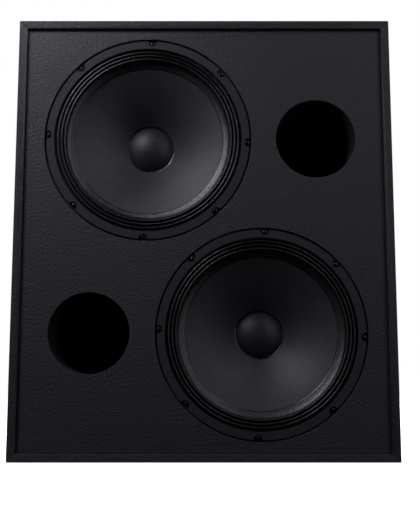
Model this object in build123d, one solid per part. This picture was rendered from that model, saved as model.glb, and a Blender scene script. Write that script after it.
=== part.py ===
"""A bass-reflex loudspeaker cabinet: two 18 inch drivers and two round ports on opposite diagonals.

Millimetres. The origin is the middle of the underside, +Z is up and the front faces -Y.
A driver is drawn about the Y axis, with depths counted back from the front of the baffle.
"""
from build123d import *
import math
import os

# Cabinet
width = 840.0
height = 984.0
depth = 600.0
wall = 18.0                 # plywood of the sides, top, bottom and back
rim_slope = 1.5             # the rim's front face falls back towards the baffle
baffle_recess = 9.0         # from the rim's front edge back to the baffle
baffle_thickness = 24.0
batten = 20.0               # glue battens behind the baffle and before the back
brace_thickness = 18.0
brace_frame = 60.0          # wood left around each window of the brace
brace_spine = 80.0          # wood left between the two windows
brace_notch_width = 60.0    # slots in the brace's front edge for the fixings of both drivers
brace_notch_depth = 30.0
wadding_thickness = 35.0
rear_wadding_margin = 20.0  # bare wood between the rear sheet and the battens
side_wadding_margin = 60.0

# Ports
port_bore = 178.0
port_length = 180.0         # from the baffle's front to the tube's inner end
port_tube_wall = 4.0
port_lip = 6.0              # plywood left in front of the tube's end
port_side_gap = 62.0        # from the side panel to the bore

# Driver: rings on the flange
flange_diameter = 457.0
flange_clearance = 4.0      # radial gap between the flange and its rebate
driver_side_gap = 43.5      # from the side panel to the rebate
driver_end_gap = 23.5       # from the top or bottom panel to the rebate
gasket_thickness = 5.0
gasket_width = 17.5
flange_thickness = 8.0
bolt_inset = 5.5            # from the flange's edge to the middle of a bolt
bolt_count = 8
bolt_turn = 2.3             # the first bolt's angle, clockwise from the top
bolt_radius = 3.0
bolt_length = 30.0
bolt_head_radius = 5.25
bolt_head_height = 3.3
bolt_brow = 0.8             # straight side of the button head
bolt_crown_radius = 2.8     # flat top of the button head
bolt_bulge = 0.55           # how far the head's round stands out from a straight chamfer
bolt_hole_clearance = 0.3   # radial, in the chassis
thread_clearance = 0.05     # radial, in the tee nut and around it
socket_across_corners = 4.6
socket_depth = 2.0
notch_radius = 10.0
notch_reach = 11.5          # how far each notch cuts in from the gasket's edge
tee_nut_radius = 8.5
tee_nut_flange = 1.5
tee_nut_barrel = 8.0        # length
tee_nut_wall = 1.0

# Driver: moving parts
travel = 8.0                # each way
cloth = 0.8
surround_land = 5.0         # width glued under the gasket
roll_radius = 2.0
roll_leg = 2.0
surround_rolls = 6          # half rolls, dips and crests counted together
surround_skirt = 11.0       # radial width of the slope from the last roll to the cone's edge
surround_foot = 5.0         # width glued over the cone's edge
foot_overhang = 1.0         # part of the foot outside the cone's edge
cone_edge_depth = 17.0
cone_depth = 82.0
cone_flare = 8.0            # how far the cone's middle stands ahead of a straight cone
paper = 1.6
neck_length = 7.0
cap_radius = 53.5
cap_height = 20.0
cap_thickness = 1.2
cap_bed = 1.0               # how deep the cap's rim is bedded in the cone's face
coil_radius = 50.0          # inside of the former
former_thickness = 0.5
winding_thickness = 1.5
winding_length = 20.0
former_tail = 2.0           # former left behind the winding
former_inset = 1.0          # from the cone's neck to the former's front edge
glue_gap = 0.3              # between the moving parts and the cloth rings that hold them

# Driver: chassis and motor
casting = 6.0
casting_bend = 1.0          # how far the wall's corners are eased along its depth
basket_clearance = 0.5      # radial gap between the wall and the baffle's cut-out
shoulder = 11.6             # depth of the straight shoulder behind the flange
lip_chamfer = 2.0
ledge_depth = 129.0         # front face of the spider's ledge
ledge_inner_radius = 92.0
ledge_outer_radius = 112.0
ledge_thickness = 4.0
spider_dish = 8.0           # how far the spider's rolls stand ahead of its rim
spider_rolls = 9
spider_rim_gap = 4.0        # from the spider's rim to the ledge's outer radius
spider_land_gap = 1.0       # from the ledge's inner radius to the first roll
spider_collar = 6.0         # height of the collar glued to the former
pot_radius = 114.0          # cylindrical rear part of the chassis
pot_depth = 148.0           # back face of the chassis
pot_bore = 62.0
window_count = 8
window_angle = 32.0
window_front = 32.0
window_back = 121.0
magnet_radius = 110.0
magnet_bore = 60.0
magnet_thickness = 24.0
plate_radius = 104.0
top_plate_thickness = 10.0
back_plate_thickness = 12.0
coil_air_gap = 1.0          # radial clearance either side of the coil
pole_vent = 20.0
pole_rise = 2.0             # the pole stands this far ahead of the top plate
terminal_width = 34.0
terminal_radial = 22.0
terminal_height = 12.0
terminal_inset = 2.0        # from the chassis's back face to the block's rear face
terminal_reach = 17.0       # from the chassis wall to the leads' holes
lead_radius = 1.1
lead_spacing = 18.0
lead_end_radius = 76.0      # where the leads meet the back of the cone
lead_window_gap = 10.0      # from the window's back edge to the leads' turn
lead_rise = 14.0            # straight run into the cone
lead_bends = [8.0, 6.0]
cable_radius = 4.0
cable_run = 110.0           # straight run at each end
cable_bends = [40.0, 40.0]

# Handles
handle_length = 168.0
handle_height = 108.0
handle_depth = 58.0
handle_flange = 16.0
handle_metal = 2.5
handle_corner = 14.0
handle_place_y = 60.0
handle_brace_gap = 55.0     # from the brace's top to the bottom of the handle's bowl
grip_radius = 10.0
grip_sink = 14.0            # the grip's axis below the side panel's face

# Connector plate
plate_length = 150.0
plate_height = 106.0
plate_metal = 2.0
plate_recess = 12.0
plate_clearance = 0.5
plate_ledge = 15.0
plate_place_z = 190.0
connector_spacing = 60.0
connector_flange_width = 26.0
connector_flange_height = 31.0
connector_flange = 3.0
connector_collar = 4.0
collar_radius = 13.0
barrel_radius = 11.8
barrel_hole = 12.0
barrel_depth = 30.0
connector_bore = 10.0
connector_core = 4.5
bore_depth = 22.0
screw_head_radius = 4.5
screw_radius = 2.0
screw_length = 14.0
small_head_radius = 3.2
small_head_height = 2.0
small_screw_radius = 1.5
small_screw_length = 6.0

# Planes and places that follow from the sizes
front = -depth / 2
back = depth / 2
inner_x = width / 2 - wall
inner_top = height - wall
inner_back = back - wall
baffle_front = front + baffle_recess
baffle_back = baffle_front + baffle_thickness
flange_radius = flange_diameter / 2
rebate_radius = flange_radius + flange_clearance
flange_front = gasket_thickness
flange_back = flange_front + flange_thickness
gasket_bore = flange_radius - gasket_width
bolt_circle_radius = flange_radius - bolt_inset
surround_start = gasket_bore - roll_radius
surround_end = surround_start - 2 * roll_radius * surround_rolls
cone_edge_radius = surround_end - surround_skirt
driver_x = inner_x - driver_side_gap - rebate_radius
upper_z = inner_top - driver_end_gap - rebate_radius
lower_z = wall + driver_end_gap + rebate_radius
port_x = inner_x - port_side_gap - port_bore / 2
port_outer_radius = port_bore / 2 + port_tube_wall
cone_neck_depth = cone_edge_depth + cone_depth
former_radius = coil_radius + former_thickness
winding_radius = former_radius + winding_thickness
magnet_front = pot_depth + top_plate_thickness
magnet_back = magnet_front + magnet_thickness
driver_back = magnet_back + back_plate_thickness
winding_middle = pot_depth + top_plate_thickness / 2
former_back = winding_middle + winding_length / 2 + former_tail
terminal_rear = pot_depth - terminal_inset
terminal_front = terminal_rear - terminal_height
window_step = 360 / window_count
window_turn = bolt_turn + window_step / 2
brace_z = (upper_z + lower_z) / 2
handle_place_z = brace_z + brace_thickness / 2 + handle_brace_gap + handle_height / 2
plate_front = back - plate_recess - plate_metal

drivers = {"upper": (-driver_x, upper_z), "lower": (driver_x, lower_z)}
ports = {"upper": (port_x, upper_z), "lower": (-port_x, lower_z)}
terminal_windows = {"upper": 3, "lower": 5}     # the window that each block stands at

nodes = {}


# Shapes used all over

def slab(x0, x1, y0, y1, z0, z1):
    """A block between two opposite corners."""
    return Pos((x0 + x1) / 2, (y0 + y1) / 2, (z0 + z1) / 2) * Box(x1 - x0, y1 - y0, z1 - z0)


def turned(*outline):
    """A body of revolution about Y, from points of radius and depth."""
    return revolve(make_face(Polyline(*outline, close=True)), Axis.Y)


def rod(radius, start, end):
    return turned((0, start), (radius, start), (radius, end), (0, end))


def ring(inner, outer, start, end):
    return turned((inner, start), (outer, start), (outer, end), (inner, end))


def around(shape, radius, count, first):
    """Copies of a shape on a circle about Y, the first at an angle clockwise from the top."""
    return [Rot(0, first + k * 360 / count, 0) * Pos(0, 0, radius) * shape for k in range(count)]


def on_driver(name, shape):
    x, z = drivers[name]
    return Pos(x, baffle_front, z) * shape


def prism(outline, start, end):
    """A straight body along Y, from an outline of X and Z points."""
    face = Plane.XZ * make_face(Polyline(*outline, close=True))
    return Pos(0, start, 0) * extrude(face, amount=start - end)


# Cabinet

def rim_bevel():
    """The space cut away where the rim's front face slopes in to the baffle."""
    outer = Plane.XZ.offset(-front) * Pos(0, height / 2) * Rectangle(width, height)
    inner = Plane.XZ.offset(-front - rim_slope) * Pos(0, height / 2) * Rectangle(
        2 * inner_x, height - 2 * wall
    )
    return loft([outer, inner], ruled=True)


def shell_panels():
    """Sides, top and bottom, mitred where they meet."""
    half = width / 2
    corners = [(-half, 0), (-half, height), (half, height), (half, 0)]
    insides = [(-inner_x, wall), (-inner_x, inner_top), (inner_x, inner_top), (inner_x, wall)]
    names = ["left_side_panel", "top_panel", "right_side_panel", "bottom_panel"]
    bevel = rim_bevel()
    for k, name in enumerate(names):
        after = (k + 1) % 4
        outline = [corners[k], corners[after], insides[after], insides[k]]
        nodes[name] = prism(outline, front, back) - bevel


def baffle_boards():
    """Two glued boards: the holes of the front one are the drivers' rebates and the ports."""
    seam = baffle_front + flange_back
    face = slab(-inner_x, inner_x, baffle_front, seam, wall, inner_top)
    backing = slab(-inner_x, inner_x, seam, baffle_back, wall, inner_top)
    rebate = rod(rebate_radius, 0, flange_back)
    cutout = rod(gasket_bore, flange_back, baffle_thickness)
    barrel = rod(bolt_radius + tee_nut_wall, flange_back, baffle_thickness)
    for name in drivers:
        face -= on_driver(name, rebate)
        backing -= on_driver(name, cutout)
        for hole in around(barrel, bolt_circle_radius, bolt_count, bolt_turn):
            backing -= on_driver(name, hole)
    tube_hole = rod(port_outer_radius, port_lip, baffle_thickness)
    for x, z in ports.values():
        face -= Pos(x, baffle_front, z) * rod(port_bore / 2, 0, port_lip)
        face -= Pos(x, baffle_front, z) * tube_hole
        backing -= Pos(x, baffle_front, z) * tube_hole
    nodes["baffle_front_board"] = face
    nodes["baffle_rear_board"] = backing


def port_tubes():
    for name, (x, z) in ports.items():
        tube = ring(port_bore / 2, port_outer_radius, port_lip, port_length)
        nodes[name + "_port_tube"] = Pos(x, baffle_front, z) * tube


def back_panel():
    panel = slab(-inner_x, inner_x, inner_back, back, wall, inner_top)
    seat_x = plate_length / 2 + plate_clearance
    seat_z = plate_height / 2 + plate_clearance
    hole_x = plate_length / 2 - plate_ledge
    hole_z = plate_height / 2 - plate_ledge
    z = plate_place_z
    panel -= slab(-seat_x, seat_x, plate_front, back, z - seat_z, z + seat_z)
    panel -= slab(-hole_x, hole_x, inner_back, back, z - hole_z, z + hole_z)
    panel -= plate_fixings(rod(small_screw_radius, -small_screw_length, 0))
    nodes["back_panel"] = panel


def battens():
    """Square battens in the four inside corners, behind the baffle and before the back."""
    top = inner_top - batten
    side = inner_x - batten
    for name, y in (("front_battens", baffle_back), ("rear_battens", inner_back - batten)):
        strips = [
            slab(-inner_x, -side, y, y + batten, wall, inner_top),
            slab(side, inner_x, y, y + batten, wall, inner_top),
            slab(-side, side, y, y + batten, wall, wall + batten),
            slab(-side, side, y, y + batten, top, inner_top),
        ]
        nodes[name] = strips


def brace_windows():
    """The two openings through the brace: left, then right, each low and high in X, then in Y."""
    near = baffle_back + brace_frame
    far = inner_back - brace_frame
    outer = inner_x - brace_frame
    inner = brace_spine / 2
    return [(-outer, -inner, near, far), (inner, outer, near, far)]


def brace():
    low = brace_z - brace_thickness / 2
    high = brace_z + brace_thickness / 2
    shelf = slab(-inner_x, inner_x, baffle_back, inner_back, low, high)
    for x0, x1, y0, y1 in brace_windows():
        shelf -= slab(x0, x1, y0, y1, low, high)
    half = brace_notch_width / 2
    for x, _ in drivers.values():
        shelf -= slab(x - half, x + half, baffle_back, baffle_back + brace_notch_depth, low, high)
    for side in (-1, 1):
        ends = sorted((side * inner_x, side * (inner_x - batten)))
        shelf -= slab(*ends, baffle_back, baffle_back + batten, low, high)
        shelf -= slab(*ends, inner_back - batten, inner_back, low, high)
    nodes["window_brace"] = shelf


def wadding():
    """Sheets of damping felt: one on the back above the brace, one on each side below it."""
    edge = inner_x - batten - rear_wadding_margin
    nodes["rear_wadding"] = slab(
        -edge, edge, inner_back - wadding_thickness, inner_back,
        brace_z + brace_thickness, inner_top - batten - rear_wadding_margin,
    )
    y0 = baffle_back + batten + side_wadding_margin
    y1 = inner_back - batten - side_wadding_margin
    z0 = wall + batten
    z1 = brace_z - brace_thickness
    nodes["side_wadding"] = [
        slab(-inner_x, wadding_thickness - inner_x, y0, y1, z0, z1),
        slab(inner_x - wadding_thickness, inner_x, y0, y1, z0, z1),
    ]


# Handles, drawn for the right side with X counted out from the panel's face

def pocket(length, tall, corner, start, end):
    face = Plane.YZ * RectangleRounded(length, tall, corner)
    return Pos(start, 0, 0) * extrude(face, amount=end - start)


def handle_screw():
    """A countersunk screw that points into the side panel."""
    screw = turned(
        (0, 0), (screw_head_radius, 0), (screw_radius, -handle_metal),
        (screw_radius, -screw_length), (0, -screw_length),
    )
    return Rot(0, 0, -90) * screw


def handle_fixings():
    y = handle_length / 2 + handle_flange / 2
    z = handle_height / 2 + handle_flange / 2
    places = [(sy * y, sz * z) for sy in (-1, 1) for sz in (-1, 1)]
    places += [(0, -z), (0, z)]
    return [Pos(0, py, pz) * handle_screw() for py, pz in places]


def handles():
    outer_length = handle_length + 2 * handle_flange
    outer_height = handle_height + 2 * handle_flange
    flange = pocket(outer_length, outer_height, handle_corner, -handle_metal, 0)
    bowl = pocket(handle_length, handle_height, handle_corner, -handle_depth, 0)
    inside = pocket(
        handle_length - 2 * handle_metal, handle_height - 2 * handle_metal,
        handle_corner - handle_metal, handle_metal - handle_depth, 0,
    )
    screws = handle_fixings()
    hole = flange + bowl
    dish = hole - inside - screws
    reach = handle_length / 2 - handle_metal
    grip = Pos(-grip_sink, 0, 0) * rod(grip_radius, -reach, reach)
    place = Pos(width / 2, handle_place_y, handle_place_z)
    right = {"handle_dish": [dish], "handle_grip": [grip], "handle_screws": screws}
    for name, shapes in right.items():
        placed = [place * shape for shape in shapes]
        nodes["right_" + name] = placed
        nodes["left_" + name] = [mirror(shape, about=Plane.YZ) for shape in placed]
    for shape in [hole] + screws:
        cut = place * shape
        nodes["right_side_panel"] -= cut
        nodes["left_side_panel"] -= mirror(cut, about=Plane.YZ)


# Connector plate

def plate_fixings(shape):
    """Four copies of a shape whose Y = 0 lies on the plate's outer face."""
    x = plate_length / 2 - plate_ledge / 2
    z = plate_height / 2 - plate_ledge / 2
    y = plate_front + plate_metal
    return [Pos(sx * x, y, plate_place_z + sz * z) * shape for sx in (-1, 1) for sz in (-1, 1)]


def small_screw():
    """A pan-head screw that points towards -Y, its head's underside at Y = 0."""
    shank = rod(small_screw_radius, -small_screw_length, 0)
    rim = (small_head_radius, small_head_height / 2)
    crown = (small_head_radius / 2, small_head_height)
    return shank + turned((0, 0), (small_head_radius, 0), rim, crown, (0, small_head_height))


def connector():
    """A chassis socket for a twist-lock loudspeaker plug. Y = 0 lies on the plate's face."""
    flange = slab(
        -connector_flange_width / 2, connector_flange_width / 2, 0, connector_flange,
        -connector_flange_height / 2, connector_flange_height / 2,
    )
    mouth = connector_flange + connector_collar
    body = flange + rod(collar_radius, 0, mouth) + rod(barrel_radius, -barrel_depth, 0)
    body -= rod(connector_bore, mouth - bore_depth, mouth)
    return body + rod(connector_core, mouth - bore_depth, connector_flange)


def connector_panel():
    y = plate_front + plate_metal
    sheet = slab(
        -plate_length / 2, plate_length / 2, plate_front, y,
        plate_place_z - plate_height / 2, plate_place_z + plate_height / 2,
    )
    sheet -= plate_fixings(rod(small_screw_radius, -small_screw_length, 0))
    across = connector_flange_width / 2 - small_head_radius
    up = connector_flange_height / 2 - small_head_radius
    seat = Pos(0, connector_flange, 0)
    screws = []
    for name, side in (("input_connector", -1), ("link_connector", 1)):
        place = Pos(side * connector_spacing / 2, y, plate_place_z)
        sheet -= place * rod(barrel_hole, -plate_metal, 0)
        pair = [place * Pos(s * across, 0, s * up) * seat * small_screw() for s in (-1, 1)]
        body = place * connector()
        for screw in pair:
            body -= screw
            sheet -= screw
        nodes[name] = body
        screws += pair
    nodes["connector_plate"] = sheet
    nodes["connector_screws"] = screws
    nodes["plate_screws"] = plate_fixings(small_screw())


# Drivers

def chassis():
    """The cast frame: flange, open conical wall, spider ledge and rear pot."""
    wall_start = flange_back + shoulder
    outer_top = gasket_bore - casting
    ledge_back = ledge_depth + ledge_thickness
    body = turned(
        (gasket_bore, flange_front), (flange_radius, flange_front),
        (flange_radius, flange_back), (gasket_bore - basket_clearance, flange_back),
        (outer_top, wall_start), (pot_radius + casting, ledge_depth - casting_bend),
        (pot_radius, ledge_back + casting_bend), (pot_radius, pot_depth),
        (pot_bore, pot_depth), (pot_bore, pot_depth - casting),
        (pot_radius - casting, pot_depth - casting),
        (pot_radius - casting, ledge_back), (ledge_inner_radius, ledge_back),
        (ledge_inner_radius, ledge_depth), (ledge_outer_radius, ledge_depth),
        (outer_top - casting, wall_start - casting_bend),
        (outer_top + lip_chamfer, flange_back - lip_chamfer),
    )
    half = math.radians(window_angle / 2)
    near = ledge_outer_radius - casting
    far = flange_radius
    sector = [
        (-near * math.sin(half), near * math.cos(half)),
        (-far * math.sin(half), far * math.cos(half)),
        (far * math.sin(half), far * math.cos(half)),
        (near * math.sin(half), near * math.cos(half)),
    ]
    opening = prism(sector, window_front, window_back)
    for window in around(opening, 0, window_count, window_turn):
        body -= window
    hole = rod(bolt_radius + bolt_hole_clearance, flange_front, flange_back)
    for bolt_hole in around(hole, bolt_circle_radius, bolt_count, bolt_turn):
        body -= bolt_hole
    return body


def gasket():
    """The ring over the flange, stepped for the surround's edge and notched for the bolts."""
    inner = gasket_bore
    land = gasket_bore + surround_land
    body = turned(
        (inner, 0), (flange_radius, 0), (flange_radius, flange_front),
        (land, flange_front), (land, flange_front - cloth), (inner, flange_front - cloth),
    )
    notch = rod(notch_radius, 0, flange_front)
    centre = flange_radius - notch_reach + notch_radius
    for cut in around(notch, centre, bolt_count, bolt_turn):
        body -= cut
    return body


def rolls(outer, middle, count):
    """Lines and arcs of half rolls side by side, from the outer radius inwards. The first dips."""
    edges = []
    side = 1
    for k in range(count):
        start = outer - 2 * roll_radius * k
        end = start - 2 * roll_radius
        level = middle + side * roll_leg / 2
        before = middle - side * roll_leg / 2
        top = (start - roll_radius, level + side * roll_radius)
        edges.append(Line((start, before), (start, level)))
        edges.append(ThreePointArc((start, level), top, (end, level)))
        side = -side
    return edges


def cloth_ring(edges):
    """A ring of thin cloth from the lines and arcs of its middle surface."""
    outline = Wire(edges).offset_2d(cloth / 2, kind=Kind.ARC, side=Side.BOTH, closed=True)
    return revolve(make_face(outline.edges()), Axis.Y)


def flare(shift, neck_radius):
    """Three points of the cone's curve, from its edge to its neck, moved back by a shift."""
    middle = (cone_edge_radius + former_radius) / 2
    level = cone_edge_depth + cone_depth / 2 - cone_flare
    return [
        (cone_edge_radius, cone_edge_depth + shift), (middle, level + shift),
        (neck_radius, cone_neck_depth + shift),
    ]


def cone_front_depth(radius):
    """Depth of the cone's front face at a radius."""
    arc = ThreePointArc(*flare(0, former_radius))
    middle = arc.arc_center
    return middle.Y - math.sqrt(arc.radius ** 2 - (radius - middle.X) ** 2)


def surround():
    """Accordion edge: glued under the gasket outside, and over the cone's edge inside."""
    middle = flange_front - cloth / 2
    lift = glue_gap + cloth / 2
    foot_start = cone_edge_radius + foot_overhang
    foot_end = foot_start - surround_foot
    land = Line((gasket_bore + surround_land - cloth, middle), (surround_start, middle))
    waves = rolls(surround_start, middle, surround_rolls)
    waves[0] = Line((surround_start, middle), (surround_start, middle + roll_leg / 2))
    start = (foot_start, cone_front_depth(foot_start) - lift)
    end = (foot_end, cone_front_depth(foot_end) - lift)
    skirt = Line((surround_end, middle - roll_leg / 2), start)
    return cloth_ring([land] + waves + [skirt, Line(start, end)])


def spider():
    """Corrugated cloth that centres the coil, dished towards the cone."""
    middle = ledge_depth - cloth / 2
    level = middle - spider_dish
    rim = ledge_outer_radius - spider_rim_gap
    outer = ledge_inner_radius - spider_land_gap
    foot = outer - 2 * roll_radius * spider_rolls
    collar = former_radius + glue_gap + cloth / 2
    end = level + roll_leg / 2
    return cloth_ring(
        [Line((rim, middle), (outer, middle)), Line((outer, middle), (outer, end))]
        + rolls(outer, level, spider_rolls)[1:]
        + [Line((foot, end), (collar, end)), Line((collar, end), (collar, end - spider_collar))]
    )


def cone():
    neck_end = cone_neck_depth + neck_length
    front_points = flare(0, former_radius)
    rear_points = flare(paper, former_radius + paper)
    neck = Polyline(
        front_points[-1], (former_radius, neck_end), (former_radius + paper, neck_end),
        rear_points[-1],
    )
    edge = Line(front_points[0], rear_points[0])
    outline = [ThreePointArc(*front_points), neck, ThreePointArc(*rear_points), edge]
    return revolve(make_face(outline), Axis.Y)


def dust_cap(cone_body):
    """A thin dome whose rim stands on the cone."""
    rim = cone_front_depth(cap_radius) + cap_bed
    apex = rim - cap_height
    radius = (cap_radius ** 2 + cap_height ** 2) / (2 * cap_height)
    half = math.asin(cap_radius / radius) / 2
    middle = (radius * math.sin(half), apex + radius * (1 - math.cos(half)))
    inner = radius - cap_thickness
    turn = math.asin((cap_radius - cap_thickness) / inner)
    rim_in = (inner * math.sin(turn), apex + radius - inner * math.cos(turn))
    middle_in = (inner * math.sin(turn / 2), apex + radius - inner * math.cos(turn / 2))
    outline = [
        ThreePointArc((0, apex), middle, (cap_radius, rim)),
        Line((cap_radius, rim), rim_in),
        ThreePointArc(rim_in, middle_in, (0, apex + cap_thickness)),
        Line((0, apex + cap_thickness), (0, apex)),
    ]
    return revolve(make_face(outline), Axis.Y) - cone_body


def bolt():
    """A button-head bolt with a hexagon socket, its head's underside on the flange."""
    top = flange_front - bolt_head_height
    tip = flange_front + bolt_length
    brow = (bolt_head_radius, flange_front - bolt_brow)
    crown = (bolt_crown_radius, top)
    outline = Polyline(
        crown, (0, top), (0, tip), (bolt_radius, tip), (bolt_radius, flange_front),
        (bolt_head_radius, flange_front), brow,
    )
    body = revolve(make_face([outline, SagittaArc(brow, crown, bolt_bulge)]), Axis.Y)
    socket = Plane.XZ.offset(-top) * RegularPolygon(socket_across_corners / 2, 6)
    return body - extrude(socket, amount=-socket_depth)


def tee_nut():
    """Flange on the back of the baffle and a barrel in its hole."""
    plate = baffle_thickness
    bore = bolt_radius + thread_clearance
    outer = bolt_radius + tee_nut_wall - thread_clearance
    barrel = ring(bore, outer, plate - tee_nut_barrel, plate)
    return barrel + ring(bore, tee_nut_radius, plate, plate + tee_nut_flange)


def terminal_angle(name):
    """Angle of a driver's terminal block, clockwise from the top."""
    return window_turn + window_step * terminal_windows[name]


def terminal(angle):
    """Terminal block on the outside of the chassis pot."""
    half = terminal_width / 2
    end = pot_radius + terminal_radial
    block = slab(-half, half, terminal_front, terminal_rear, 0, end)
    return Rot(0, angle, 0) * (block - rod(pot_radius, 0, driver_back))


def lead_pair(angle, cone_body):
    """Two braided leads from the terminal block, in through a window, to the back of the cone."""
    rise = pot_radius + terminal_reach
    turn = window_back - lead_window_gap
    end = cone_front_depth(lead_end_radius)
    leads = []
    for side in (-1, 1):
        x = side * lead_spacing / 2
        start = (x, terminal_front, rise)
        path = FilletPolyline(
            start, (x, turn, rise), (x, end + lead_rise, lead_end_radius),
            (x, end, lead_end_radius), radius=lead_bends,
        )
        lead = sweep(Plane(start, z_dir=(0, -1, 0)) * Circle(lead_radius), path=path)
        trimmed = Rot(0, angle, 0) * lead - Pos(0, glue_gap, 0) * cone_body - cone_body
        leads.append(trimmed.solids().sort_by(SortBy.VOLUME)[-1])
    return leads


def driver_nodes(name):
    cone_body = cone()
    angle = terminal_angle(name)
    plate_bore = winding_radius + coil_air_gap
    pole = coil_radius - coil_air_gap
    yoke = ring(pole_vent, plate_radius, magnet_back, driver_back)
    yoke += ring(pole_vent, pole, pot_depth - pole_rise, magnet_back)
    winding_front = winding_middle - winding_length / 2
    winding_back = winding_middle + winding_length / 2
    former_front = cone_neck_depth + former_inset
    pieces = {
        "chassis": chassis(),
        "gasket": gasket(),
        "surround": surround(),
        "cone": cone_body,
        "dust_cap": dust_cap(cone_body),
        "coil_former": ring(coil_radius, former_radius, former_front, former_back),
        "coil_winding": ring(former_radius, winding_radius, winding_front, winding_back),
        "spider": spider(),
        "top_plate": ring(plate_bore, plate_radius, pot_depth, magnet_front),
        "magnet": ring(magnet_bore, magnet_radius, magnet_front, magnet_back),
        "pole_yoke": yoke,
        "terminal_block": terminal(angle),
        "tinsel_leads": lead_pair(angle, cone_body),
        "driver_bolts": around(bolt(), bolt_circle_radius, bolt_count, bolt_turn),
        "tee_nuts": around(tee_nut(), bolt_circle_radius, bolt_count, bolt_turn),
    }
    for piece, shape in pieces.items():
        shapes = shape if isinstance(shape, list) else [shape]
        nodes[name + "_" + piece] = [on_driver(name, item) for item in shapes]


# Inside wiring

def cable(points):
    path = FilletPolyline(*points, radius=cable_bends)
    start = Vector(*points[0])
    heading = Vector(*points[1]) - start
    return sweep(Plane(start, z_dir=heading) * Circle(cable_radius), path=path)


def terminal_place(name):
    """The middle of a terminal block's rear face."""
    x, z = drivers[name]
    angle = math.radians(terminal_angle(name))
    reach = pot_radius + terminal_radial / 2
    return x + reach * math.sin(angle), baffle_front + terminal_rear, z + reach * math.cos(angle)


def wiring():
    """One cable from each connector to a driver's terminal block."""
    y_end = plate_front + plate_metal - barrel_depth
    for name, side in (("upper", -1), ("lower", 1)):
        x, y, z = terminal_place(name)
        end_x = side * connector_spacing / 2
        nodes[name + "_driver_cable"] = cable([
            (x, y, z), (x, y + cable_run, z), (end_x, y_end - cable_run, plate_place_z),
            (end_x, y_end, plate_place_z),
        ])


def build():
    shell_panels()
    baffle_boards()
    port_tubes()
    back_panel()
    battens()
    brace()
    wadding()
    handles()
    connector_panel()
    for name in drivers:
        driver_nodes(name)
    wiring()


def save():
    os.makedirs("parts", exist_ok=True)
    for name, shape in nodes.items():
        shapes = shape if isinstance(shape, list) else [shape]
        solids = [solid for item in shapes for solid in item.solids()]
        export_step(Compound(children=solids) if len(solids) > 1 else solids[0], f"parts/{name}.step")


build()
save()
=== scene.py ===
import math

import bmesh
import bpy
from bpy.props import FloatProperty, IntProperty, PointerProperty, StringProperty
from mathutils import Matrix, Vector, noise


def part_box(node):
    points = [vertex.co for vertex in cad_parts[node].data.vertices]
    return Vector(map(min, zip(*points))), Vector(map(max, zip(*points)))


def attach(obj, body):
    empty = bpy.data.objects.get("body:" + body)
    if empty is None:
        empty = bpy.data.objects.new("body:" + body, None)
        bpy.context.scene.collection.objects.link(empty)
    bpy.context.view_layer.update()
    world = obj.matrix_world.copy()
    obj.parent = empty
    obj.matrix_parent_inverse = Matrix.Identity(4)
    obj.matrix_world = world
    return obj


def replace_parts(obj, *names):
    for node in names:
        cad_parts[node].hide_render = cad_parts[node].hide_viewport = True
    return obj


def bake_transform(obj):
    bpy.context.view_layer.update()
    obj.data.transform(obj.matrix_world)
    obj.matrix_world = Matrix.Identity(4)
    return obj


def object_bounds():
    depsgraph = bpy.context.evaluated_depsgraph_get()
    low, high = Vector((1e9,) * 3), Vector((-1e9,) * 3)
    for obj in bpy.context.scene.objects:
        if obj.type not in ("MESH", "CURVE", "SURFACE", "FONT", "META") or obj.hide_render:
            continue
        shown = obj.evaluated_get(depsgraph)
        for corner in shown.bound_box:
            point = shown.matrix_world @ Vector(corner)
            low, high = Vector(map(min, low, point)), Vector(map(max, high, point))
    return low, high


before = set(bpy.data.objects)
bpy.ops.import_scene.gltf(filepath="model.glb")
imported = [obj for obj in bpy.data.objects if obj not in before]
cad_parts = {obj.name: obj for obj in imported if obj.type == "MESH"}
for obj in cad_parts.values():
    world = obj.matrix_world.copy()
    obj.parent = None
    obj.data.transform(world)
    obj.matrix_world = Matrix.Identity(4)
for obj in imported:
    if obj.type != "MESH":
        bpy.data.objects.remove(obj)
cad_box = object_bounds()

bl_info = {
    "name": "Bass cabinet looks",
    "version": (1, 0, 0),
    "blender": (4, 5, 0),
    "location": "3D View > Sidebar > Cabinet",
    "description": "Paint, cones, cloth rings and stage around a bass loudspeaker's frame",
    "category": "Object",
}

MM = 0.001
SIDES = ("upper", "lower")
CABINET = "cabinet"
FULL_TURN = 2 * math.pi

# Sizes that the frame's boxes don't give
SURROUND_ROLLS = 6
SPIDER_ROLLS = 9
SPIDER_LAND = 17.0 * MM
SPIDER_COLLAR = 6.4 * MM
GLUE_GAP = 0.3 * MM
FOOT_OVERHANG = 1.0 * MM
FOOT_WIDTH = 5.0 * MM
SKIRT_HOLLOW = 0.6 * MM
SKIRT_DROP = 6.0 * MM
SKIRT_STEP = 0.6 * MM
LEAD_SPACING = 18.0 * MM
LEAD_START = 131.0 * MM
LEAD_END = 76.0 * MM
LEAD_REACH = 22.0 * MM
LEAD_RADIUS = 1.1 * MM
WADDING_STEP = 12.0 * MM
WADDING_LUMP = 55.0 * MM
CLOTH_WAVE = 0.12 * MM
CLOTH_WAVE_LENGTH = 14.0 * MM
GLUE_WAVE_LENGTH = 9.0 * MM
EDGE_BEAD_OUT = 1.5 * MM
EDGE_BEAD_IN = 2.0 * MM
CAP_BEAD_OUT = 3.2 * MM
CAP_BEAD_IN = 0.6 * MM
WELD_DISTANCE = 0.01 * MM
BEVEL_ANGLE = 35.0
FLOOR_RADIUS = 12.0

# The camera, from the middle of the front: it looks up at the cabinet from a low seat
CAMERA_PITCH = 7.66
CAMERA_LIFT = 1.6
CAMERA_REACH = 1.8
CAMERA_ASIDE = 0.0135


LIGHT_COLOUR = "#f2f2ff"

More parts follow.
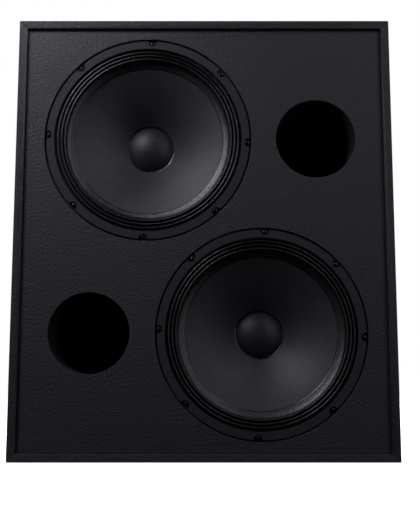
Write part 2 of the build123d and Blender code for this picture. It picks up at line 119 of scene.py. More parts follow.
# The lights: place and target from the middle of the front, size (m) and power (W)
FRONT_LIGHTS = {
    "key": ((-1.5, -1.6, 1.7), (-0.1, 0, 0.2), (1.6, 1.2), 7.7),
    "high_left": ((-2.6, -2.6, 2.6), (0, 0, 0), (0.7, 0.7), 44.0),
    "near_left": ((-0.6, -0.5, 0.9), (-0.3, 0, 0.35), (0.4, 0.4), 4.7),
    "high_right": ((1.2, -1.0, 1.4), (0.2, 0, 0.3), (0.8, 0.8), 7.0),
    "right": ((2.0, -1.6, 0.3), (0, 0, 0), (1.2, 1.6), 9.5),
    "left": ((-2.0, -1.6, 0.2), (0, 0, 0), (1.2, 1.6), 3.3),
}
REAR_LIGHTS = {
    "rear": ((1.2, 2.9, 1.7), (0, 0.3, 0), (2.0, 2.0), 90.0),
    "right_side": ((2.6, 1.1, 0.9), (0.4, 0.3, 0.1), (1.2, 1.2), 45.0),
    "left_side": ((-2.6, 1.1, 0.9), (-0.4, 0.3, 0.1), (1.2, 1.2), 45.0),
}


# Settings that a user would change

class CabinetSettings(bpy.types.PropertyGroup):
    paint: StringProperty(
        name="Paint", description="Colour of the textured paint, as sRGB hex", default="#1f1f25"
    )
    grain: FloatProperty(
        name="Paint grain", description="Distance between the paint's pimples",
        default=3.2 * MM, unit="LENGTH",
    )
    edge: FloatProperty(
        name="Edge radius", description="Rounding of the panels' edges",
        default=1.4 * MM, unit="LENGTH",
    )


class DriverSettings(bpy.types.PropertyGroup):
    cone: StringProperty(
        name="Cone", description="Colour of the cone's paper, as sRGB hex", default="#202025"
    )
    doping: StringProperty(
        name="Surround", description="Colour of the doped cloth, as sRGB hex", default="#060608"
    )
    segments: IntProperty(
        name="Segments", description="Steps round each turned piece", default=240, min=48
    )
    cloth: FloatProperty(
        name="Cloth", description="Thickness of the surround and spider cloth",
        default=0.8 * MM, unit="LENGTH",
    )
    roll: FloatProperty(
        name="Roll radius", description="Radius of each pleat of the cloth rings",
        default=2.0 * MM, unit="LENGTH",
    )
    land: FloatProperty(
        name="Land", description="Width of the surround glued under the gasket",
        default=5.0 * MM, unit="LENGTH",
    )
    skirt: FloatProperty(
        name="Skirt", description="Width of the slope from the surround's last pleat to the cone",
        default=11.0 * MM, unit="LENGTH",
    )
    flare: FloatProperty(
        name="Cone flare", description="How far the cone's middle stands ahead of a straight cone",
        default=8.0 * MM, unit="LENGTH",
    )
    neck: FloatProperty(
        name="Cone neck", description="Length of the cone's neck on the coil former",
        default=7.0 * MM, unit="LENGTH",
    )
    edge_bead: FloatProperty(
        name="Edge bead", description="Height of the glue bead at the surround's foot",
        default=0.5 * MM, unit="LENGTH",
    )
    cap_bead: FloatProperty(
        name="Cap bead", description="Height of the glue bead round the dust cap",
        default=1.0 * MM, unit="LENGTH",
    )


class StageSettings(bpy.types.PropertyGroup):
    front_light: FloatProperty(
        name="Front lights", description="Brightness of the front lights, as a share", default=1.0
    )
    rear_light: FloatProperty(
        name="Rear lights", description="Brightness of the lights behind the front, as a share",
        default=1.0,
    )
    ambient: FloatProperty(
        name="Ambient", description="Strength of the light from all round", default=0.012
    )
    focal_length: FloatProperty(
        name="Focal length", description="Focal length of the camera, in millimetres",
        default=57.2,
    )


# Small helpers

def linear(hex_colour):
    """Scene-linear RGBA from an sRGB hex colour."""
    digits = hex_colour.lstrip("#")
    values = [int(digits[i:i + 2], 16) / 255 for i in (0, 2, 4)]
    out = [v / 12.92 if v <= 0.04045 else ((v + 0.055) / 1.055) ** 2.4 for v in values]
    return (*out, 1.0)


def add_node(tree, kind, inputs=None, **settings):
    """A node with its settings. Each input is a value, or another node's output to link."""
    made = tree.nodes.new(kind)
    for name, value in settings.items():
        setattr(made, name, value)
    for name, value in (inputs or {}).items():
        if isinstance(value, bpy.types.NodeSocket):
            tree.links.new(value, made.inputs[name])
        else:
            made.inputs[name].default_value = value
    return made


def new_material(name):
    """An empty material with its output node and its object coordinates."""
    material = bpy.data.materials.new(name)
    material.use_nodes = True
    tree = material.node_tree
    tree.nodes.clear()
    place = add_node(tree, "ShaderNodeTexCoord").outputs["Object"]
    return material, tree, place


def finish_material(tree, shader):
    add_node(tree, "ShaderNodeOutputMaterial", {"Surface": shader.outputs["BSDF"]})


def mesh_object(name, bm, sharp=40.0):
    """An object from a bmesh, smooth but for edges over an angle."""
    bmesh.ops.recalc_face_normals(bm, faces=bm.faces)
    mesh = bpy.data.meshes.new(name)
    bm.to_mesh(mesh)
    bm.free()
    for face in mesh.polygons:
        face.use_smooth = True
    mesh.set_sharp_from_angle(angle=math.radians(sharp))
    made = bpy.data.objects.new(name, mesh)
    bpy.context.scene.collection.objects.link(made)
    return made


def dress(made, material, body=None):
    """Give a piece its material, and its body if one is given."""
    made.data.materials.clear()
    made.data.materials.append(material)
    if body:
        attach(made, body)
    return made


def dress_node(name, material, edge=0.0):
    """Give a CAD node its material, and its edges a small round."""
    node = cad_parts[name]
    dress(node, material)
    if edge:
        weld = node.modifiers.new("Weld", "WELD")
        weld.merge_threshold = WELD_DISTANCE
        bevel = node.modifiers.new("Edge", "BEVEL")
        bevel.width = edge
        bevel.segments = 3
        bevel.limit_method = "ANGLE"
        bevel.angle_limit = math.radians(BEVEL_ANGLE)
        bevel.harden_normals = True
    return node


def ring_vertices(bm, radius, depth, centre, segments):
    """Vertices round the Y axis through a centre; radius may be a function of the angle."""
    out = []
    for k in range(segments):
        angle = FULL_TURN * k / segments
        r = radius(angle) if callable(radius) else radius
        out.append(bm.verts.new((
            centre[0] + r * math.sin(angle), centre[1] + depth, centre[2] + r * math.cos(angle),
        )))
    return out


def lathe(name, outline, centre, segments, closed=True, sharp=40.0):
    """Turn an outline of (radius, depth) points about Y. A radius of 0 closes on the axis."""
    bm = bmesh.new()
    rings = []
    for radius, depth in outline:
        if radius == 0:
            rings.append([bm.verts.new((centre[0], centre[1] + depth, centre[2]))])
        else:
            rings.append(ring_vertices(bm, radius, depth, centre, segments))
    pairs = list(zip(rings, rings[1:]))
    if closed:
        pairs.append((rings[-1], rings[0]))
    for a, b in pairs:
        for k in range(segments):
            after = (k + 1) % segments
            corners = [a[k % len(a)], a[after % len(a)], b[after % len(b)], b[k % len(b)]]
            unique = [v for i, v in enumerate(corners) if v not in corners[:i]]
            if len(unique) > 2:
                bm.faces.new(unique)
    return mesh_object(name, bm, sharp)


def arc(centre, radius, start, end, steps):
    """Points on an arc in the outline's plane, angles in degrees from +radius towards +depth."""
    points = []
    for k in range(steps + 1):
        angle = math.radians(start + (end - start) * k / steps)
        points.append((centre[0] + radius * math.cos(angle), centre[1] + radius * math.sin(angle)))
    return points


def thicken(line, thickness):
    """A closed outline from an open middle line of (radius, depth) points."""
    front, back = [], []
    for k, point in enumerate(line):
        before = Vector(line[max(k - 1, 0)])
        after = Vector(line[min(k + 1, len(line) - 1)])
        along = (after - before).normalized()
        side = Vector((-along.y, along.x)) * thickness / 2
        front.append(tuple(Vector(point) + side))
        back.append(tuple(Vector(point) - side))
    return front + back[::-1]


def ruffle(made, amount, size):
    """Move a mesh's points in and out a little by a noise of one size, as hand-laid work varies."""
    for vertex in made.data.vertices:
        vertex.co.y += amount * noise.noise(vertex.co / size)
    made.data.update()
    return made


# Where things are, from the frame

def node_centre(name):
    low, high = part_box(name)
    return (low + high) / 2


def node_radius(name):
    low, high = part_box(name)
    return (high.x - low.x) / 2


BAFFLE_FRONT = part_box("baffle_front_board")[0].y


def driver_centre(side):
    """The middle of a driver, on the plane of the baffle's front."""
    middle = node_centre(side + "_gasket")
    return Vector((middle.x, BAFFLE_FRONT, middle.z))


def depth_range(name):
    """How far a node's front and back lie behind the baffle's front."""
    low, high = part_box(name)
    return low.y - BAFFLE_FRONT, high.y - BAFFLE_FRONT


def circle_through(a, b, c):
    """Centre and radius of the circle through three points."""
    ab, ac = b - a, c - a
    double = 2 * (ab.x * ac.y - ab.y * ac.x)
    offset = Vector((
        ac.y * ab.length_squared - ab.y * ac.length_squared,
        ab.x * ac.length_squared - ac.x * ab.length_squared,
    )) / double
    return a + offset, offset.length


def cone_depth(side, radius):
    """Depth of the cone's front face at a radius: it flares on a circle from edge to neck."""
    settings = bpy.context.scene.driver
    near, far = depth_range(side + "_cone")
    edge = Vector((node_radius(side + "_cone"), near))
    neck = Vector((node_radius(side + "_coil_former"), far - settings.neck))
    middle = (edge + neck) / 2 - Vector((0, settings.flare))
    centre, reach = circle_through(edge, middle, neck)
    return centre.y - math.sqrt(reach ** 2 - (radius - centre.x) ** 2)


# Materials

def textured_paint():
    """Spatter-coat polyurethane on plywood: hard pimples that spread every highlight wide."""
    settings = bpy.context.scene.cabinet
    material, tree, place = new_material("Spatter-coat black paint")
    pimples = add_node(tree, "ShaderNodeTexNoise", {
        "Vector": place, "Scale": 1 / settings.grain, "Detail": 3.0, "Roughness": 0.6,
    })
    drops = add_node(tree, "ShaderNodeTexVoronoi", {
        "Vector": place, "Scale": 0.7 / settings.grain, "Randomness": 1.0,
    }, feature="SMOOTH_F1")
    patches = add_node(tree, "ShaderNodeTexNoise", {"Vector": place, "Scale": 9.0, "Detail": 2.0})
    height = add_node(tree, "ShaderNodeMath", {
        0: pimples.outputs["Fac"], 1: drops.outputs["Distance"],
    }, operation="SUBTRACT")
    bump = add_node(tree, "ShaderNodeBump", {
        "Height": height.outputs[0], "Strength": 1.0, "Distance": 0.8 * MM,
    })
    specks = add_node(tree, "ShaderNodeMapRange", {
        "Value": pimples.outputs["Fac"], "From Min": 0.36, "From Max": 0.64,
    })
    colour = add_node(tree, "ShaderNodeMixRGB", {
        "Fac": specks.outputs[0], "Color1": linear("#040405"), "Color2": linear(settings.paint),
    })
    rough = add_node(tree, "ShaderNodeMapRange", {
        "Value": patches.outputs["Fac"], "To Min": 0.56, "To Max": 0.66,
    })
    finish_material(tree, add_node(tree, "ShaderNodeBsdfPrincipled", {
        "Base Color": colour.outputs[0], "Roughness": rough.outputs[0], "Normal": bump.outputs[0],
        "IOR": 1.5,
    }))
    return material


def grained(
    name, base, fleck, size, roughness, depth,
    ior=1.5, metallic=0.0, specular=0.5, stretch=(1, 1, 1),
):
    """A surface with a fine grain of one size: its colour, roughness and height follow it."""
    material, tree, place = new_material(name)
    scaled = add_node(tree, "ShaderNodeMapping", {"Vector": place, "Scale": stretch})
    grain = add_node(tree, "ShaderNodeTexNoise", {
        "Vector": scaled.outputs[0], "Scale": 1 / size, "Detail": 4.0, "Roughness": 0.55,
    })
    wide = add_node(tree, "ShaderNodeTexNoise", {
        "Vector": scaled.outputs[0], "Scale": 0.08 / size, "Detail": 2.0,
    })
    colour = add_node(tree, "ShaderNodeMixRGB", {
        "Fac": grain.outputs["Fac"], "Color1": linear(base), "Color2": linear(fleck),
    })
    rough = add_node(tree, "ShaderNodeMapRange", {
        "Value": wide.outputs["Fac"], "To Min": roughness - 0.05, "To Max": roughness + 0.05,
    })
    bump = add_node(tree, "ShaderNodeBump", {
        "Height": grain.outputs["Fac"], "Strength": 0.5, "Distance": depth,
    })
    finish_material(tree, add_node(tree, "ShaderNodeBsdfPrincipled", {
        "Base Color": colour.outputs[0], "Roughness": rough.outputs[0], "Normal": bump.outputs[0],
        "IOR": ior, "Metallic": metallic, "Specular IOR Level": specular,
    }))
    return material


def gasket_rubber():
    """Calendered neoprene: smooth and satin, a little greyer than the paint."""
    return grained(
        "Calendered neoprene", "#1b1b1f", "#212125", 1.2 * MM, 0.62, 0.06 * MM, specular=0.3
    )


def turned_frame(tree, place, centre):
    """Polar coordinates round a driver's axis: angle in radians and radius in metres."""
    local = add_node(tree, "ShaderNodeVectorMath", {0: place, 1: centre}, operation="SUBTRACT")
    parts = add_node(tree, "ShaderNodeSeparateXYZ", {0: local.outputs[0]})
    angle = add_node(tree, "ShaderNodeMath", {
        0: parts.outputs["X"], 1: parts.outputs["Z"],
    }, operation="ARCTAN2")
    flat = add_node(tree, "ShaderNodeCombineXYZ", {"X": parts.outputs["X"], "Y": parts.outputs["Z"]})
    radius = add_node(tree, "ShaderNodeVectorMath", {0: flat.outputs[0]}, operation="LENGTH")
    return angle.outputs[0], radius.outputs["Value"]


def cone_paper(side):
    """Pressed long-fibre paper, dyed black: fibres lie mostly along the radius."""
    settings = bpy.context.scene.driver
    material, tree, place = new_material(side + " pressed fibre cone")
    angle, radius = turned_frame(tree, place, driver_centre(side))
    spread = add_node(tree, "ShaderNodeMath", {0: angle, 1: 26.0}, operation="MULTIPLY")
    along = add_node(tree, "ShaderNodeMath", {0: radius, 1: 60.0}, operation="MULTIPLY")
    fibres_at = add_node(tree, "ShaderNodeCombineXYZ", {
        "X": spread.outputs[0], "Y": along.outputs[0],
    })
    fibres = add_node(tree, "ShaderNodeTexNoise", {
        "Vector": fibres_at.outputs[0], "Scale": 1.6, "Detail": 5.0, "Roughness": 0.62,
    })
    felt = add_node(tree, "ShaderNodeTexNoise", {
        "Vector": place, "Scale": 1 / (2.4 * MM), "Detail": 3.0, "Roughness": 0.7,
    })
    both = add_node(tree, "ShaderNodeMath", {
        0: fibres.outputs["Fac"], 1: felt.outputs["Fac"],
    }, operation="ADD")
    bump = add_node(tree, "ShaderNodeBump", {
        "Height": both.outputs[0], "Strength": 0.9, "Distance": 0.35 * MM,
    })
    blotches = add_node(tree, "ShaderNodeTexNoise", {
        "Vector": fibres_at.outputs[0], "Scale": 0.5, "Detail": 4.0, "Roughness": 0.6,
    })
    tone = add_node(tree, "ShaderNodeMath", {
        0: fibres.outputs["Fac"], 1: blotches.outputs["Fac"],
    }, operation="ADD")
    pulp = add_node(tree, "ShaderNodeMapRange", {
        "Value": tone.outputs[0], "From Min": 0.72, "From Max": 1.28,
    })
    colour = add_node(tree, "ShaderNodeMixRGB", {
        "Fac": pulp.outputs[0], "Color1": linear("#09090b"), "Color2": linear(settings.cone),
    })
    finish_material(tree, add_node(tree, "ShaderNodeBsdfPrincipled", {
        "Base Color": colour.outputs[0], "Roughness": 0.52, "Normal": bump.outputs[0], "IOR": 1.5,
        "Specular IOR Level": 0.45, "Sheen Weight": 0.15, "Sheen Roughness": 0.5,
    }))
    return material


def cap_paper(side):
    """Pressed paper dome under a thin lacquer: the same fibre as the cone, a little glossier."""
    return grained(
        side + " lacquered paper dome", "#121215", "#1b1b1f", 1.6 * MM, 0.5, 0.15 * MM,
        specular=0.35,
    )


def contact_glue():
    """Brushed contact cement, dyed black: rounded, wet-looking and uneven."""
    return grained("Black contact cement", "#0a0a0c", "#121215", 2.0 * MM, 0.2, 0.5 * MM)


def doped_cloth(side):
    """Pleated cotton stiffened with a tacky resin: dark, with a wet glint on every ridge; the
    skirt's lighter colour is painted light.
    """
    settings = bpy.context.scene.driver
    material, tree, place = new_material(side + " doped cotton cloth")
    angle, radius = turned_frame(tree, place, driver_centre(side))
    thread = 1.0 * MM
    weave = []
    for value, scale in ((angle, 0.19 / thread), (radius, 1 / thread)):
        turns = add_node(tree, "ShaderNodeMath", {
            0: value, 1: scale * FULL_TURN / 2,
        }, operation="MULTIPLY")
        weave.append(add_node(tree, "ShaderNodeMath", {0: turns.outputs[0]}, operation="SINE"))
    cross = add_node(tree, "ShaderNodeMath", {
        0: weave[0].outputs[0], 1: weave[1].outputs[0],
    }, operation="MULTIPLY")
    flow = add_node(tree, "ShaderNodeTexNoise", {"Vector": place, "Scale": 90.0, "Detail": 3.0})
    lumps = add_node(tree, "ShaderNodeTexNoise", {
        "Vector": place, "Scale": 1 / (1.6 * MM), "Detail": 3.0, "Roughness": 0.7,
    })
    skin = add_node(tree, "ShaderNodeMath", {
        0: cross.outputs[0], 1: 0.2, 2: lumps.outputs["Fac"],
    }, operation="MULTIPLY_ADD")
    bump = add_node(tree, "ShaderNodeBump", {
        "Height": skin.outputs[0], "Strength": 0.9, "Distance": 0.35 * MM,
    })
    rough = add_node(tree, "ShaderNodeMapRange", {
        "Value": flow.outputs["Fac"], "To Min": 0.2, "To Max": 0.3,
    })
    # Painted light: the skirt inside the last pleat takes a lighter copy of the cloth's colour,
    # lifting the shade the pleats cast on it
    ridges = node_radius(side + "_surround") - settings.land - 2 * settings.roll * SURROUND_ROLLS
    painted_fill_zone = add_node(tree, "ShaderNodeMapRange", {
        "Value": radius, "From Min": ridges - 1.0 * MM, "From Max": ridges + 2.0 * MM,
    })
    colour = add_node(tree, "ShaderNodeMixRGB", {
        "Fac": painted_fill_zone.outputs[0], "Color1": linear("#101013"), "Color2": linear(settings.doping),
    })
    finish_material(tree, add_node(tree, "ShaderNodeBsdfPrincipled", {
        "Base Color": colour.outputs[0], "Roughness": rough.outputs[0],
        "Normal": bump.outputs[0], "IOR": 1.5,
    }))
    return material


def birch_plywood():
    """Unpainted birch plywood: pale, long grain along X."""
    return grained(
        "Sawn birch plywood", "#c7a878", "#a98352", 1.5 * MM, 0.6, 0.1 * MM, stretch=(0.06, 1, 1)
    )


def wadding_felt():
    """Carded polyester wadding: soft, matt and uneven."""
    return grained("Carded polyester wadding", "#5c5c5a", "#8d8d89", 3 * MM, 0.95, 1.2 * MM)


def port_board():
    """Wound paper tube with matt black paint."""
    return grained("Painted paper tube", "#0a0a0c", "#101013", 2 * MM, 0.6, 0.15 * MM)


def powder_coat():
    """Black powder coat on pressed steel: fine orange peel under a satin skin."""
    return grained("Black powder coat", "#0c0c0e", "#101013", 1.4 * MM, 0.42, 0.06 * MM)


def black_zinc():
    """Black passivated zinc on screws: dark metal with a soft glint."""
    return grained(
        "Black passivated zinc", "#040405", "#080809", 0.8 * MM, 0.22, 0.01 * MM
    )


def glass_nylon():
    """Glass-filled nylon moulding: matt, faintly mottled."""
    return grained("Glass-filled nylon", "#0c0c0d", "#131315", 1.0 * MM, 0.5, 0.04 * MM, ior=1.53)


def cast_aluminium():
    """Die-cast aluminium under black paint, with the casting's faint skin."""
    return grained(
        "Painted die casting", "#030304", "#060607", 2.2 * MM, 0.75, 0.12 * MM, specular=0.2
    )


def zinc_steel():
    """Bright zinc plating on turned steel."""
    return grained(
        "Bright zinc plating", "#a9a99f", "#c9c8bb", 0.9 * MM, 0.3, 0.01 * MM, metallic=1.0
    )


def ferrite():
    """Ground strontium ferrite: dark grey and faintly granular."""
    return grained("Ground ferrite", "#26262a", "#333338", 0.7 * MM, 0.55, 0.03 * MM)


def spider_cloth():
    """Phenolic-dipped cotton: amber, with a coarse weave."""
    return grained("Phenolic cotton", "#8a5f24", "#b98a45", 0.8 * MM, 0.6, 0.2 * MM)


def copper_wire():
    """Enamelled copper wire, wound close."""
    return grained(
        "Enamelled copper wire", "#7c3a1c", "#b4643a", 0.5 * MM, 0.3, 0.1 * MM,
        metallic=1.0, stretch=(0.2, 3, 0.2),
    )


def glass_former():
    """Glass-cloth coil former, translucent tan."""
    return grained("Glass-cloth former", "#9a7a44", "#b6945a", 0.6 * MM, 0.4, 0.03 * MM)


def tinned_braid():
    """Tinned copper braid."""
    return grained(
        "Tinned copper braid", "#8f7a68", "#c7b8a8", 0.4 * MM, 0.35, 0.15 * MM, metallic=1.0
    )


def soft_jacket():
    """Flexible rubber cable jacket."""
    return grained("Rubber cable jacket", "#101011", "#17171a", 1.0 * MM, 0.6, 0.05 * MM)


def phenolic_block():
    """Compression-moulded phenolic of the terminal blocks."""
    return grained("Moulded phenolic", "#1a120e", "#241a14", 1.0 * MM, 0.4, 0.02 * MM)


def white_floor():
    """A matt white studio floor that stays white to its edge."""
    material, tree, place = new_material("Matt studio floor")
    mottle = add_node(tree, "ShaderNodeTexNoise", {"Vector": place, "Scale": 2.0})
    colour = add_node(tree, "ShaderNodeMixRGB", {
        "Fac": mottle.outputs["Fac"], "Color1": linear("#f4f4f4"), "Color2": linear("#f8f8f8"),
    })
    finish_material(tree, add_node(tree, "ShaderNodeBsdfPrincipled", {
        "Base Color": colour.outputs[0], "Roughness": 0.9,
        "Emission Color": (1, 1, 1, 1), "Emission Strength": 1.0,
    }))
    return material


# Operators

class CABINET_OT_panels(bpy.types.Operator):
    """Paint the panels and round their edges"""
    bl_idname = "cabinet.panels"
    bl_label = "Panels"

    def execute(self, context):
        paint = textured_paint()
        edge = context.scene.cabinet.edge
        boards = ("baffle_front_board", "baffle_rear_board", "back_panel")
        for name in ("left_side_panel", "right_side_panel", "top_panel", "bottom_panel", *boards):
            dress_node(name, paint, edge)
        return {"FINISHED"}


def wadding_sheet(name, low, high, wall_axis, wall_side, node):
    """A soft sheet of wadding: flat on its wall, crowned and lumpy on its free face.

    wall_axis is the axis across the sheet, and wall_side is 1 where the wall is at its high end.
    """
    spans = [axis for axis in range(3) if axis != wall_axis]
    size = [high[axis] - low[axis] for axis in range(3)]
    count = [max(8, round(size[axis] / WADDING_STEP)) for axis in spans]
    bm = bmesh.new()
    faces = {}
    for free in (0, 1):
        for i in range(count[0] + 1):
            for j in range(count[1] + 1):
                u, v = 2 * i / count[0] - 1, 2 * j / count[1] - 1
                crown = ((1 - abs(u) ** 10) * (1 - abs(v) ** 10)) ** 0.4
                place = [0.0, 0.0, 0.0]
                place[spans[0]] = low[spans[0]] + size[spans[0]] * i / count[0]
                place[spans[1]] = low[spans[1]] + size[spans[1]] * j / count[1]
                lump = 0.5 + 0.5 * noise.noise(Vector(place) / WADDING_LUMP)
                rise = size[wall_axis] * crown * (0.7 + 0.28 * lump) if free else 0.0
                place[wall_axis] = high[wall_axis] - rise if wall_side > 0 else low[wall_axis] + rise
                faces[free, i, j] = bm.verts.new(place)
    for free in (0, 1):
        for i in range(count[0]):
            for j in range(count[1]):
                quad = [(i, j), (i + 1, j), (i + 1, j + 1), (i, j + 1)]
                bm.faces.new([faces[(free, *corner)] for corner in quad])
    bmesh.ops.remove_doubles(bm, verts=bm.verts, dist=WELD_DISTANCE)
    made = mesh_object(name, bm, sharp=180)
    dress(made, wadding_felt(), CABINET)
    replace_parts(made, node)
    return made


class CABINET_OT_inside(bpy.types.Operator):
    """Finish the wood and wiring that the cabinet holds, and lay the wadding"""
    bl_idname = "cabinet.inside"
    bl_label = "Inside"

    def execute(self, context):
        wood = birch_plywood()
        jacket = soft_jacket()
        for name in ("front_battens", "rear_battens", "window_brace"):
            dress_node(name, wood)
        for side in SIDES:
            dress_node(side + "_driver_cable", jacket)
        low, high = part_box("rear_wadding")
        wadding_sheet("rear_wadding_sheet", low, high, 1, 1, "rear_wadding")
        low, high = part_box("side_wadding")
        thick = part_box("rear_wadding")[1].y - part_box("rear_wadding")[0].y
        inward = Vector((low.x + thick, high.y, high.z))
        wadding_sheet("left_wadding_sheet", low, inward, 0, -1, "side_wadding")
        inward = Vector((high.x - thick, low.y, low.z))
        wadding_sheet("right_wadding_sheet", inward, high, 0, 1, "side_wadding")
        return {"FINISHED"}


class CABINET_OT_ports(bpy.types.Operator):
    """Finish the two port tubes"""
    bl_idname = "cabinet.ports"
    bl_label = "Ports"

    def execute(self, context):
        board = port_board()
        for side in SIDES:
            dress_node(side + "_port_tube", board)
        return {"FINISHED"}


class CABINET_OT_hardware(bpy.types.Operator):
    """Finish the handles, the connector plate and the screws"""
    bl_idname = "cabinet.hardware"
    bl_label = "Hardware"

    def execute(self, context):
        coat = powder_coat()
        nylon = glass_nylon()
        zinc = black_zinc()
        for side in ("left", "right"):
            dress_node(side + "_handle_dish", coat, 0.8 * MM)
            dress_node(side + "_handle_grip", coat)
            dress_node(side + "_handle_screws", zinc)
        dress_node("connector_plate", coat)
        for name in ("input_connector", "link_connector"):
            dress_node(name, nylon, 0.4 * MM)
        for name in ("connector_screws", "plate_screws"):
            dress_node(name, zinc)
        return {"FINISHED"}


class CABINET_OT_motors(bpy.types.Operator):
    """Finish the castings, magnets, coils and bolts of both drivers"""
    bl_idname = "cabinet.motors"
    bl_label = "Chassis and motors"

    def execute(self, context):
        finishes = {
            "chassis": cast_aluminium(), "top_plate": zinc_steel(), "pole_yoke": zinc_steel(),
            "magnet": ferrite(), "coil_former": glass_former(), "coil_winding": copper_wire(),
            "terminal_block": phenolic_block(), "driver_bolts": black_zinc(),
            "tee_nuts": zinc_steel(),
        }
        cotton, braid = spider_cloth(), tinned_braid()
        for side in SIDES:
            for piece, material in finishes.items():
                dress_node(f"{side}_{piece}", material)
            spider(side, cotton)
            tinsel_leads(side, braid)
        return {"FINISHED"}


def pleats(start, middle, count, roll):
    """Half rolls side by side, from a radius inwards. The first one dips."""
    points = []
    for k in range(count):
        way = 1 if k % 2 == 0 else -1
        centre = (start - roll * (2 * k + 1), middle + way * roll / 2)
        points += arc(centre, roll, 0, 180 * way, 10)
    return points


def cloth_ring(name, side, line, material):
    """A pleated cloth ring that stands for its CAD node and stretches between frame and cone."""
    settings = bpy.context.scene.driver
    centre = driver_centre(side)
    made = lathe(name, thicken(line, settings.cloth), centre, settings.segments, sharp=70)
    ruffle(made, CLOTH_WAVE, CLOTH_WAVE_LENGTH)
    dress(made, material)
    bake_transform(made)
    return made


def surround(side, material):
    """Land under the gasket, three ridges, and a skirt whose foot is glued over the cone's edge."""
    settings = bpy.context.scene.driver
    node = side + "_surround"
    middle = depth_range(side + "_gasket")[1] - settings.cloth / 2
    outer = node_radius(node) - settings.cloth / 2
    start = outer + settings.cloth - settings.land - settings.roll
    end = start - 2 * settings.roll * SURROUND_ROLLS
    lift = GLUE_GAP + settings.cloth / 2
    foot = end - settings.skirt + FOOT_OVERHANG
    toe = foot - FOOT_WIDTH
    top = middle - settings.roll / 2
    heel = cone_depth(side, foot) - lift
    brink = (end - SKIRT_STEP, top + SKIRT_DROP)
    skirt = [(end - SKIRT_STEP * k / 3, top + SKIRT_DROP * k / 3) for k in (1, 2)]
    for k in range(8):
        share = k / 8
        skirt.append((
            brink[0] + (foot - brink[0]) * share,
            brink[1] + (heel - brink[1]) * share + SKIRT_HOLLOW * math.sin(math.pi * share),
        ))
    foot_line = [(foot - FOOT_WIDTH * k / 4, cone_depth(side, foot - FOOT_WIDTH * k / 4) - lift)
                 for k in range(5)]
    line = [(outer, middle), (start, middle)]
    line += pleats(start, middle, SURROUND_ROLLS, settings.roll) + skirt + foot_line
    made = cloth_ring(side + "_pleated_surround", side, line, material)
    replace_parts(made, node)
    return toe


def spider(side, material):
    """Corrugated cloth from the chassis's ledge to the coil former, dished towards the cone."""
    settings = bpy.context.scene.driver
    node = side + "_spider"
    near, far = depth_range(node)
    rim = node_radius(node) - settings.cloth / 2
    former = node_radius(side + "_coil_former")
    middle = far - settings.cloth / 2
    end = near + SPIDER_COLLAR
    level = end - settings.roll / 2
    collar = former + GLUE_GAP + settings.cloth / 2
    start = rim - SPIDER_LAND
    line = [(rim, middle), (start, middle)] + pleats(start, level, SPIDER_ROLLS, settings.roll)
    line += [(collar, end), (collar, near)]
    made = cloth_ring(side + "_corrugated_spider", side, line, material)
    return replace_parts(made, node)


def bead(name, side, outer, inner, height, material):
    """A bead of glue run round the cone between two radii."""
    a = Vector((outer, cone_depth(side, outer)))
    b = Vector((inner, cone_depth(side, inner)))
    along = b - a
    out = Vector((-along.y, along.x)).normalized()
    outline = []
    for k in range(9):
        share = k / 8
        outline.append(tuple(a + along * share + out * height * 4 * share * (1 - share)))
    made = lathe(name, outline, driver_centre(side), bpy.context.scene.driver.segments, sharp=60)
    ruffle(made, height * 0.35, GLUE_WAVE_LENGTH)
    return dress(made, material, side + "_cone_assembly")


def tube(name, points, radius, sides=10):
    """A round tube along points."""
    bm = bmesh.new()
    rings = []
    across = Vector((0, 0, 1))
    for k, point in enumerate(points):
        along = (points[min(k + 1, len(points) - 1)] - points[max(k - 1, 0)]).normalized()
        across = (across - along * across.dot(along)).normalized()
        other = along.cross(across)
        rings.append([bm.verts.new(
            point + radius * (across * math.cos(FULL_TURN * j / sides)
                              + other * math.sin(FULL_TURN * j / sides))
        ) for j in range(sides)])
    for a, b in zip(rings, rings[1:]):
        for j in range(sides):
            after = (j + 1) % sides
            bm.faces.new([a[j], a[after], b[after], b[j]])
    bm.faces.new(rings[0])
    bm.faces.new(rings[-1])
    return mesh_object(name, bm)


def bezier(corners, steps):
    """Points on the Bezier curve of any number of corners."""
    points = []
    for k in range(steps + 1):
        row = list(corners)
        while len(row) > 1:
            row = [p.lerp(q, k / steps) for p, q in zip(row, row[1:])]
        points.append(row[0])
    return points


def tinsel_leads(side, material):
    """Two braided leads from the terminal block, through a window, to the back of the cone."""
    settings = bpy.context.scene.driver
    centre = driver_centre(side)
    block = node_centre(side + "_terminal_block") - centre
    angle = math.atan2(block.x, block.z)
    near, far = depth_range(side + "_tinsel_leads")
    turn = Matrix.Rotation(angle, 4, "Y")
    bend = far - near - LEAD_REACH
    for sign, hand in ((-1, "left"), (1, "right")):
        x = sign * LEAD_SPACING / 2
        corners = [
            (x, far, LEAD_START), (x, far - LEAD_REACH, LEAD_START),
            (x, far - bend, (LEAD_START + LEAD_END) / 2), (x, near + LEAD_REACH, LEAD_END),
            (x, near + settings.cloth, LEAD_END),
        ]
        route = [centre + turn @ Vector(c) for c in corners]
        made = tube(f"{side}_{hand}_tinsel_lead", bezier(route, 40), LEAD_RADIUS)
        dress(made, material)
        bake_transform(made)
        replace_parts(made, side + "_tinsel_leads")


class CABINET_OT_cones(bpy.types.Operator):
    """Make the cones, dust caps, glue beads, surrounds and gaskets of both drivers"""
    bl_idname = "cabinet.cones"
    bl_label = "Cones and cloth rings"

    def execute(self, context):
        settings = context.scene.driver
        rubber = gasket_rubber()
        glue = contact_glue()
        for side in SIDES:
            dress_node(side + "_gasket", rubber, 0.4 * MM)
            dress_node(side + "_cone", cone_paper(side))
            dress_node(side + "_dust_cap", cap_paper(side))
            toe = surround(side, doped_cloth(side))
            bead(
                side + "_edge_bead", side, toe + EDGE_BEAD_OUT, toe - EDGE_BEAD_IN,
                settings.edge_bead, glue,
            )
            cap = node_radius(side + "_dust_cap")
            bead(
                side + "_cap_bead", side, cap + CAP_BEAD_OUT, cap - CAP_BEAD_IN,
                settings.cap_bead, glue,
            )
        return {"FINISHED"}


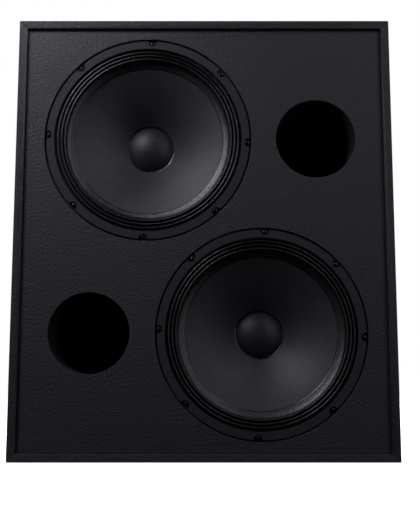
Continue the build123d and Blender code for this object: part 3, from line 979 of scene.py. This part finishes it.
def area_light(name, place, target, size, power):
    light = bpy.data.lights.new(name, "AREA")
    light.shape = "RECTANGLE"
    light.size, light.size_y = size
    light.energy = power
    light.color = linear(LIGHT_COLOUR)[:3]
    made = bpy.data.objects.new(name, light)
    made.location = place
    made.rotation_euler = (Vector(target) - Vector(place)).to_track_quat("-Z", "Y").to_euler()
    bpy.context.scene.collection.objects.link(made)
    return made


class CABINET_OT_stage(bpy.types.Operator):
    """Set the floor, the lights, the surroundings and the camera"""
    bl_idname = "cabinet.stage"
    bl_label = "Stage"

    def execute(self, context):
        scene = context.scene
        settings = scene.stage
        low, high = cad_box
        face = Vector(((low[0] + high[0]) / 2, low[1], (low[2] + high[2]) / 2))
        tall = high[2] - low[2]

        bm = bmesh.new()
        bmesh.ops.create_circle(bm, cap_ends=True, segments=96, radius=FLOOR_RADIUS)
        floor = mesh_object("studio_floor", bm)
        floor.data.materials.append(white_floor())
        floor.visible_diffuse = False
        floor.visible_glossy = False

        world = bpy.data.worlds.new("Studio")
        world.use_nodes = True
        tree = world.node_tree
        tree.nodes.clear()
        path = add_node(tree, "ShaderNodeLightPath")
        seen = add_node(tree, "ShaderNodeBackground", {"Color": (1, 1, 1, 1), "Strength": 1.0})
        lit = add_node(tree, "ShaderNodeBackground", {
            "Color": linear("#dfe2ff"), "Strength": settings.ambient,
        })
        mix = add_node(tree, "ShaderNodeMixShader", {
            0: path.outputs["Is Camera Ray"], 1: lit.outputs[0], 2: seen.outputs[0],
        })
        add_node(tree, "ShaderNodeOutputWorld", {"Surface": mix.outputs[0]})
        scene.world = world

        for lights, share in (
            (FRONT_LIGHTS, settings.front_light), (REAR_LIGHTS, settings.rear_light),
        ):
            for name, (place, target, size, power) in lights.items():
                area_light(name, face + Vector(place), face + Vector(target), size, power * share)

        camera = bpy.data.cameras.new("camera")
        camera.lens = settings.focal_length
        camera.sensor_width = 36.0
        seat = bpy.data.objects.new("camera", camera)
        pitch = math.radians(CAMERA_PITCH)
        reach = CAMERA_REACH * tall
        lift = math.radians(CAMERA_LIFT)
        seat.location = face + Vector((CAMERA_ASIDE, -reach, -reach * math.tan(pitch + lift)))
        seat.rotation_euler = (math.pi / 2 + pitch, 0, 0)
        scene.collection.objects.link(seat)
        scene.camera = seat
        scene.view_settings.view_transform = "Standard"
        return {"FINISHED"}


class CABINET_PT_panel(bpy.types.Panel):
    """Lists the cabinet's steps and settings"""
    bl_idname = "CABINET_PT_panel"
    bl_label = "Bass cabinet"
    bl_space_type = "VIEW_3D"
    bl_region_type = "UI"
    bl_category = "Cabinet"

    def draw(self, context):
        column = self.layout.column()
        for settings in (context.scene.cabinet, context.scene.driver, context.scene.stage):
            for name in settings.__annotations__:
                column.prop(settings, name)
        for step in STEPS:
            column.operator(step.bl_idname)


STEPS = (
    CABINET_OT_stage, CABINET_OT_panels, CABINET_OT_ports, CABINET_OT_cones,
    CABINET_OT_motors, CABINET_OT_hardware, CABINET_OT_inside,
)
SETTINGS = (("cabinet", CabinetSettings), ("driver", DriverSettings), ("stage", StageSettings))


def register():
    for name, settings in SETTINGS:
        bpy.utils.register_class(settings)
        setattr(bpy.types.Scene, name, PointerProperty(type=settings))
    for made in (*STEPS, CABINET_PT_panel):
        bpy.utils.register_class(made)


def unregister():
    for made in (CABINET_PT_panel, *reversed(STEPS)):
        bpy.utils.unregister_class(made)
    for name, settings in reversed(SETTINGS):
        delattr(bpy.types.Scene, name)
        bpy.utils.unregister_class(settings)


def main():
    register()
    for step in STEPS:
        group, name = step.bl_idname.split(".")
        getattr(getattr(bpy.ops, group), name)()


if __name__ == "__main__":
    main()
